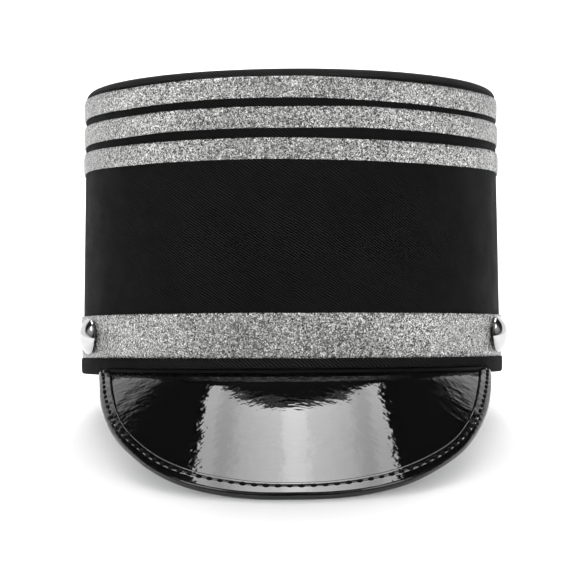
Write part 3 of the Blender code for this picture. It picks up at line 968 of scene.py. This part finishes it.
def makeStitchTree():
    tree, given, result = newGroup("stitchRow", [
        ("Geometry", "Geometry"), ("Stitch Pitch", "Float"), ("Stitch Length", "Float"),
        ("Thread Thickness", "Float"), ("Unevenness", "Float"), ("Material", "Material"),
    ], [("Geometry", "Geometry")], "GeometryNodeTree")
    points = addNode(tree, "GeometryNodeCurveToPoints", {
        "Curve": given["Geometry"], "Length": given["Stitch Pitch"]}, mode="LENGTH")
    ball = addNode(tree, "GeometryNodeMeshUVSphere", {"Segments": 10, "Rings": 7, "Radius": 0.5})
    size = combine(tree, given["Stitch Length"], given["Thread Thickness"], given["Thread Thickness"])
    shaped = addNode(tree, "GeometryNodeTransform", {"Geometry": ball.outputs["Mesh"], "Scale": size})
    aim = addNode(tree, "FunctionNodeAlignRotationToVector", {"Vector": points.outputs["Tangent"]}, axis="X")
    vary = addNode(tree, "FunctionNodeRandomValue", {
        2: times(tree, given["Unevenness"], -1.0), 3: given["Unevenness"], "Seed": seam["seed"]},
        data_type="FLOAT")
    placed = addNode(tree, "GeometryNodeInstanceOnPoints", {
        "Points": points.outputs["Points"], "Instance": shaped.outputs[0], "Rotation": aim.outputs[0],
        "Scale": plus(tree, 1.0, vary.outputs[1])})
    finishTree(tree, placed.outputs[0], given["Material"], result)
    return tree


def makeStitches():
    part = np.linspace(-0.94, 0.95, 500)
    angle, reach = outline(part)
    byAngle, byDistance = inwardStep(part)
    seamLine = smoothTable(seam["inFromEdge"], np.abs(part))
    a, r = angle + byAngle * seamLine, reach + byDistance * seamLine
    normal = peakFrame(a, r)[2]
    lift = peakShape["leather"] / 2 + peakShape["bindingFit"] + peakShape["bindingLeather"] + seam["threadLift"]
    curve = polyCurve("stitchLine", toWorld(onPeak(a, r) + normal * lift), False)
    tree = makeStitchTree()
    piece = runTree(curve, tree, {
        "Stitch Pitch": seam["pitch"] * 0.001, "Stitch Length": seam["stitch"] * 0.001,
        "Thread Thickness": seam["thread"] * 0.001, "Unevenness": seam["unevenness"],
        "Material": thread}, "peakStitches")
    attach(piece, "root")


makePeak()
makeBinding()
makeStitches()
print("peak ready")


# The buttons

buttonShape = {
    "diameter": 16.0,
    "dome": 4.0,
    "edge": 0.9,
    "shankDiameter": 4.4,
    "shankLength": 0.3,
    "level": 15.0,
    "left": -67.0,
    "right": 70.0,
    "segments": 72,
}


def makeButton(name, node, degrees):
    b = buttonShape
    angle = math.radians(degrees)
    back = crownRadius(b["level"]) + hat["skinFit"] + ribbons["thickness"] + hat["fit"]
    base = roundTheHat(back, angle, b["level"])
    outward = unit(np.array([hat["oval"] * math.sin(angle), -math.cos(angle), 0.0]))
    sideways = np.cross([0, 0, 1], outward)
    radius = b["diameter"] / 2
    sphere = (radius ** 2 + b["dome"] ** 2) / (2 * b["dome"])
    start = math.degrees(math.asin(radius / sphere))
    lip, shank, length = b["edge"] / 2, b["shankDiameter"] / 2, b["shankLength"]
    shoulder = length + b["edge"]
    profile = [(0.05, 0), (shank - 0.1, 0), (shank, 0.1), (shank, length - 0.05), (shank + 0.1, length)]
    profile += arcPoints((radius - lip, length + lip), lip, -90, 20, 10)
    profile += arcPoints((0, shoulder + b["dome"] - sphere), sphere, 90 - start, 89.7, 28)[1:]
    profile = np.array(profile)
    segments = b["segments"]
    turn = 2 * np.pi * np.arange(segments) / segments
    r, h = profile[:, 0][:, None, None], profile[:, 1][:, None, None]
    c, s = np.cos(turn)[None, :, None], np.sin(turn)[None, :, None]
    points = base + outward * h + sideways * r * c + np.array([0, 0, 1]) * r * s
    uv = np.stack(np.meshgrid(np.linspace(0, 1, segments + 1), np.linspace(0, 1, len(profile))), -1)
    piece = gridMesh(name, toWorld(points), uv, [chrome])
    closeHoles(piece)
    finishPiece(piece, node)


makeButton("buttonLeft", "button_left", buttonShape["left"])
makeButton("buttonRight", "button_right", buttonShape["right"])
print("buttons ready")


# Studio: floor, lights and camera

studio = {
    "cameraHat": (-1.62, -913.0, 14.2),   # mm in the hat's frame
    "cameraPitch": 1.43,                  # degrees up in the hat's frame
    "cameraRoll": 0.35,
    "focal": 1970.0,                      # px in a 576 px frame
    "boxFull": 12.0,
    "boxProfile": (
        # sideways over height, brightness
        (0.0, 10.8), (0.035, 10.4), (0.06, 8.6), (0.12, 7.9), (0.20, 6.6), (0.25, 5.0), (0.28, 4.8), (0.31, 5.8),
        (0.352, 5.8), (0.358, 0.0),
    ),
    "boxShift": 0.012,
    "boxFront": (0.06, 0.09),
    "boxBack": (0.9, 1.0),
    "coveEdge": (
        # towards the back, height of the cove's upper edge (both of the direction's unit vector)
        (-1.0, -0.08), (-0.7, 0.0), (-0.39, 0.1), (-0.07, 0.18), (0.1, 0.28), (0.39, 0.45), (0.6, 0.63), (0.8, 0.66),
        (1.0, 0.66),
    ),
    "coveTilt": 0.06,
    "coveFade": (-0.22, -0.04),
    "cove": 1.2,
    "ceiling": 0.025,
    "lampDirection": (0.608, -0.355, 0.71),
    "lamp": 3.4,
    "lampEdge": (0.972, 0.984),
    "lampGlow": 0.5,
    "glowEdge": (0.72, 0.95),
    "glowBack": (-0.2, -0.05),
    # the broad light: heights and directions round the hat between which its parts fade
    "lowEdge": (0.36, 0.48),
    "highEdge": (0.8, 0.9),
    "behindEdge": (0.72, 0.88),
    "beforeEdge": (-0.4, -0.2),
    "asideEdge": (0.15, 0.25),
    "backLow": 14.5,
    "backHigh": 4.5,
    "backSide": 1.4,
    "frontLow": 8.5,
    "white": 1.3,
}


def makeCamera():
    data = bpy.data.cameras.new("camera")
    data.sensor_width = 36.0
    data.lens = 36.0 * studio["focal"] / 576.0
    camera = placeObject("camera", data)
    pitch = math.radians(studio["cameraPitch"] - hat["lean"])
    turn = Matrix.Rotation(math.pi / 2 + pitch, 4, "X") @ Matrix.Rotation(math.radians(-studio["cameraRoll"]), 4, "Z")
    camera.matrix_world = Matrix.Translation(Vector(toWorld(studio["cameraHat"]))) @ turn
    data.clip_end = 50
    bpy.context.scene.camera = camera


def makeFloor():
    size = 40.0
    mesh = bpy.data.meshes.new("floor")
    mesh.from_pydata([(-size, -size, 0), (size, -size, 0), (size, size, 0), (-size, size, 0)], [], [(0, 1, 2, 3)])
    material, tree, shader = newMaterial("paleFloor")
    setInputs(tree, shader, {"Base Color": grey(tree, patches(tree, 0.3, 0.86, 0.88)), "Roughness": 0.9})
    mesh.materials.append(material)
    floor = placeObject("floor", mesh)


def makeWorld():
    # A white cove all round, a black ceiling and a long soft box in it, brightest along its middle.
    world = bpy.data.worlds.new("studio")
    bpy.context.scene.world = world
    world.use_nodes = True
    world.cycles.sampling_method = "NONE"
    tree = world.node_tree
    studioLight = tree.nodes["Background"]
    studioLight.inputs["Color"].default_value = (1, 1, 1, 1)
    direction = addNode(tree, "ShaderNodeTexCoord").outputs["Generated"]
    parts = axes(tree, direction)
    x, y, z = parts["X"], parts["Y"], parts["Z"]
    up = mathNode(tree, "MAXIMUM", z, 0.02)
    side = mathNode(tree, "DIVIDE", minus(tree, x, times(tree, up, studio["boxShift"])), up)
    back = mathNode(tree, "DIVIDE", y, up)
    box = addNode(tree, "ShaderNodeValToRGB", {0: times(tree, mathNode(tree, "ABSOLUTE", side), 2.0)})
    shape = box.color_ramp
    shape.elements[0].position, shape.elements[1].position = 0.0, 1.0
    for place, level in studio["boxProfile"]:
        stop = shape.elements.new(place * 2.0)
        part = level / studio["boxFull"]
        stop.color = (part, part, part, 1)
    shape.elements.remove(shape.elements[0])
    shape.elements[-1].color = (0, 0, 0, 1)
    ends = times(tree, ramp(tree, back, 0.0, 1.0, *studio["boxFront"]),
                 ramp(tree, back, 1.0, 0.0, *studio["boxBack"]))
    boxLight = times(tree, box.outputs[0], studio["boxFull"], ends)
    edge = addNode(tree, "ShaderNodeValToRGB", {0: mathNode(tree, "MULTIPLY_ADD", y, 0.5, 0.5)})
    line = edge.color_ramp
    line.elements[0].position, line.elements[1].position = 0.0, 1.0
    for place, height in studio["coveEdge"][1:-1]:
        line.elements.new(place * 0.5 + 0.5)
    for stop, (place, height) in zip(line.elements, studio["coveEdge"]):
        stop.color = (height + 0.1, height + 0.1, height + 0.1, 1)
    tilted = mathNode(tree, "MULTIPLY_ADD", x, studio["coveTilt"], z)
    fadeStart, fadeEnd = studio["coveFade"]
    cove = addNode(tree, "ShaderNodeMapRange", {
        "Value": minus(tree, tilted, edge.outputs[0]), "From Min": fadeStart, "From Max": fadeEnd,
        "To Min": studio["cove"], "To Max": studio["ceiling"]}, interpolation_type="SMOOTHSTEP").outputs[0]
    # A lamp on either side, with a glow round it.
    eitherSide = axes(tree, vectorMath(tree, "ABSOLUTE", {0: direction}))["X"]
    towards = addNode(tree, "ShaderNodeVectorMath", {
        0: combine(tree, eitherSide, y, z), 1: studio["lampDirection"]}, operation="DOT_PRODUCT").outputs["Value"]
    glow = times(tree, ramp(tree, towards, 0.0, studio["lampGlow"], *studio["glowEdge"]),
                 ramp(tree, y, 1.0, 0.0, *studio["glowBack"]))
    lamp = plus(tree, ramp(tree, towards, 0.0, studio["lamp"], *studio["lampEdge"]), glow)
    total = plus(tree, boxLight, plus(tree, cove, lamp))
    tree.links.new(total, studioLight.inputs["Strength"])
    # The broad light that falls on matt surfaces.
    flat = mathNode(tree, "SQRT", minus(tree, 1.0, times(tree, z, z)))
    around = mathNode(tree, "DIVIDE", y, mathNode(tree, "MAXIMUM", flat, 0.01))
    lowEdge, highEdge = studio["lowEdge"], studio["highEdge"]
    high = plus(tree, ramp(tree, z, studio["backLow"] - studio["backHigh"], 0.0, *lowEdge),
                ramp(tree, z, studio["backHigh"], 0.0, *highEdge))
    behind = times(tree, ramp(tree, around, 0.0, 1.0, *studio["behindEdge"]), high)
    before = times(tree, ramp(tree, around, studio["frontLow"], 0.0, *studio["beforeEdge"]),
                   ramp(tree, z, 1.0, 0.0, *lowEdge))
    ring = times(tree, ramp(tree, z, 0.0, 1.0, *lowEdge), ramp(tree, z, 1.0, 0.0, *highEdge))
    aside = times(tree, ramp(tree, around, 0.0, studio["backSide"], *studio["asideEdge"]), ring)
    broad = addNode(tree, "ShaderNodeBackground", {
        "Color": (1, 1, 1, 1), "Strength": plus(tree, behind, before, aside)}).outputs[0]
    white = addNode(tree, "ShaderNodeBackground", {"Color": (1, 1, 1, 1), "Strength": studio["white"]}).outputs[0]
    path = addNode(tree, "ShaderNodeLightPath").outputs
    soft = addNode(tree, "ShaderNodeMixShader", {0: path["Is Diffuse Ray"], 1: studioLight.outputs[0], 2: broad})
    mix = addNode(tree, "ShaderNodeMixShader", {0: path["Is Camera Ray"], 1: soft.outputs[0], 2: white})
    tree.links.new(mix.outputs[0], tree.nodes["World Output"].inputs["Surface"])


makeCamera()
makeFloor()
makeWorld()
bpy.context.scene.view_settings.view_transform = "Standard"
print("studio ready")
